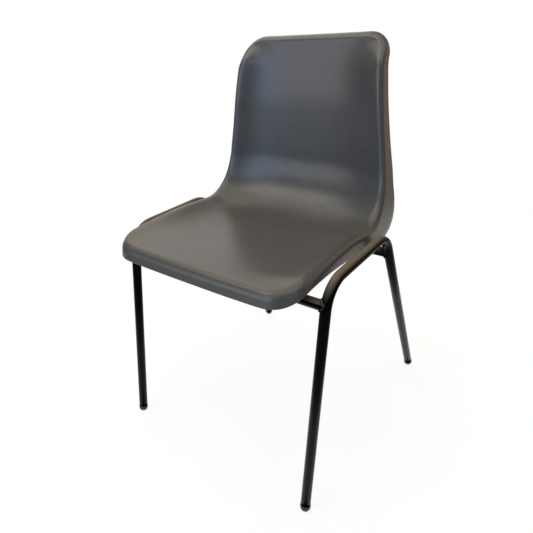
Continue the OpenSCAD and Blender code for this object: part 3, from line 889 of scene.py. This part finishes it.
def pale_floor():
    material = bpy.data.materials.new("pale_floor")
    material.use_nodes = True
    tree = material.node_tree
    tree.nodes.clear()
    place = add(tree, "ShaderNodeTexCoord").outputs["Object"]
    distance = add(tree, "ShaderNodeVectorMath", {0: place}, operation="LENGTH").outputs["Value"]
    fade = add(tree, "ShaderNodeMapRange", {"Value": distance, "From Min": FLOOR_FADE,
                                            "From Max": FLOOR_R}, interpolation_type="SMOOTHSTEP")
    path = add(tree, "ShaderNodeLightPath").outputs
    seen = add(tree, "ShaderNodeMath", {0: path["Is Camera Ray"], 1: path["Is Glossy Ray"]},
               operation="MAXIMUM")
    seen = add(tree, "ShaderNodeMath", {0: seen.outputs[0], 1: path["Is Transmission Ray"]},
               operation="MAXIMUM")
    own_light = add(tree, "ShaderNodeMath", {0: seen.outputs[0], 1: OWN_LIGHT_SHARE},
                    operation="MULTIPLY")
    matt = add(tree, "ShaderNodeBsdfDiffuse", {"Color": linear("#dcdcda")})
    white = add(tree, "ShaderNodeEmission", {"Color": linear("#ffffff"), "Strength": OWN_LIGHT})
    lit = add(tree, "ShaderNodeMixShader", {0: own_light.outputs[0], 1: matt.outputs[0],
                                            2: white.outputs[0]})
    clear = add(tree, "ShaderNodeBsdfTransparent")
    out = add(tree, "ShaderNodeMixShader", {0: fade.outputs[0], 1: lit.outputs[0],
                                            2: clear.outputs[0]})
    add(tree, "ShaderNodeOutputMaterial", {"Surface": out.outputs[0]})
    return material


floor_mesh = bpy.data.meshes.new("floor")
edge = [(FLOOR_R * math.cos(a), FLOOR_R * math.sin(a), 0) for a in round_angles(FLOOR_SIDES)]
floor_mesh.from_pydata(edge, [], [tuple(range(FLOOR_SIDES))])
floor_mesh.materials.append(pale_floor())
floor = bpy.data.objects.new("floor", floor_mesh)
scene.collection.objects.link(floor)
print("floor radius:", FLOOR_R, "m")

# %% [markdown]
# ## Light
# A satin surface such as the seat mirrors, in a blurred way, whatever lies behind the viewer, so
# the light is built like a plain room. A warm ceiling gives the bend its pale band, a tall window
# in front of the chair gives the back its cool sheen, and the dark corners between them give the
# back its depth. Each part of the room is one soft-edged patch of the world, given by how far
# round and how far up it lies, in degrees. Round is 0 straight in front of the chair and grows
# towards +x, which is on the right in the picture. A later patch is painted over an earlier one.
# The camera sees the world as white, and so do glossy surfaces that mirror the part behind the
# chair, as they would mirror a white backdrop.

# %% The room as patches of the world
scene.view_settings.view_transform = "Standard"

ROOM = (
    # name, round from and to, up from and to, width of the soft edge, colour, strength
    ("floor_far_off", -180, 180, -95, -16, 6, "#fffcf6", 0.80),
    ("left_wall", -146, -100, 12, 46, 10, "#fff3e3", 1.80),
    ("right_wall", 52, 82, -6, 30, 14, "#fbfbff", 0.62),
    ("right_rear_wall", 128, 168, -12, 46, 14, "#ffe1c2", 0.80),
    ("window_left_pane", -46, -24, -1, 26, 8, "#fff8f8", 2.30),
    ("window_right_pane", -24, 2, -6, 42, 8, "#c1dcff", 3.30),
    ("ceiling", -180, 180, 58, 95, 8, "#fff0d7", 1.55),
    ("ceiling_left", -140, -66, 44, 60, 8, "#fff2db", 2.10),
    ("ceiling_over_window", -66, -26, 44, 66, 6, "#fffbf0", 3.90),
    ("ceiling_lamp", 45, 95, 50, 66, 8, "#fff6e8", 2.60),
)
DARK_CORNERS = ("#b2d5ff", 0.09)
BACKDROP = (-178, -100, -95, 30, 10)
FULL_ROUND = 360


def shining(swatch, strength):
    """The light of a colour at a strength, as RGBA."""
    return tuple(c * strength for c in linear(swatch)[:3]) + (1.0,)


def band(tree, angle, low, high, soft):
    """One between low and high, none outside, with soft edges of the given width in degrees."""
    up = add(tree, "ShaderNodeMapRange", {"Value": angle, "From Min": low - soft / 2,
                                          "From Max": low + soft / 2},
             interpolation_type="SMOOTHSTEP")
    down = add(tree, "ShaderNodeMapRange", {"Value": angle, "From Min": high + soft / 2,
                                            "From Max": high - soft / 2},
               interpolation_type="SMOOTHSTEP")
    both = add(tree, "ShaderNodeMath", {0: up.outputs[0], 1: down.outputs[0]}, operation="MULTIPLY")
    return both.outputs[0]


def patch_mask(tree, round_angle, up_angle, low_round, high_round, low_up, high_up, soft):
    """Where a patch of the room lies. One that goes all the way round needs no band round."""
    up = band(tree, up_angle, low_up, high_up, soft)
    if high_round - low_round >= FULL_ROUND:
        return up
    across = band(tree, round_angle, low_round, high_round, soft)
    return add(tree, "ShaderNodeMath", {0: up, 1: across}, operation="MULTIPLY").outputs[0]


def studio_world():
    world = bpy.data.worlds.new("studio")
    world.use_nodes = True
    tree = world.node_tree
    tree.nodes.clear()
    way = add(tree, "ShaderNodeTexCoord").outputs["Generated"]
    parts = add(tree, "ShaderNodeSeparateXYZ", {"Vector": way}).outputs
    front = add(tree, "ShaderNodeMath", {0: parts["Y"], 1: -1.0}, operation="MULTIPLY").outputs[0]
    turned = add(tree, "ShaderNodeMath", {0: parts["X"], 1: front}, operation="ARCTAN2").outputs[0]
    raised = add(tree, "ShaderNodeMath", {0: parts["Z"]}, operation="ARCSINE").outputs[0]
    round_angle = add(tree, "ShaderNodeMath", {0: turned}, operation="DEGREES").outputs[0]
    up_angle = add(tree, "ShaderNodeMath", {0: raised}, operation="DEGREES").outputs[0]
    room = add(tree, "ShaderNodeRGB").outputs[0]
    room.default_value = shining(*DARK_CORNERS)
    for name, *place, swatch, strength in ROOM:
        mask = patch_mask(tree, round_angle, up_angle, *place)
        painted = add(tree, "ShaderNodeMix", {"Factor": mask, MIX_A: room,
                                              MIX_B: shining(swatch, strength)}, data_type="RGBA")
        painted.label = name
        room = painted.outputs[MIX_OUT]
    path = add(tree, "ShaderNodeLightPath").outputs
    backdrop = patch_mask(tree, round_angle, up_angle, *BACKDROP)
    mirrored = add(tree, "ShaderNodeMath", {0: path["Is Glossy Ray"], 1: backdrop},
                   operation="MULTIPLY")
    seen = add(tree, "ShaderNodeMath", {0: path["Is Camera Ray"], 1: path["Is Transmission Ray"]},
               operation="MAXIMUM")
    white = add(tree, "ShaderNodeMath", {0: seen.outputs[0], 1: mirrored.outputs[0]},
                operation="MAXIMUM")
    shown = add(tree, "ShaderNodeMix", {"Factor": white.outputs[0], MIX_A: room,
                                        MIX_B: linear("#ffffff")}, data_type="RGBA")
    light = add(tree, "ShaderNodeBackground", {"Color": shown.outputs[MIX_OUT], "Strength": 1.0})
    add(tree, "ShaderNodeOutputWorld", {"Surface": light.outputs[0]})
    scene.world = world
    print("patches of the room:", ", ".join(patch[0] for patch in ROOM))


studio_world()
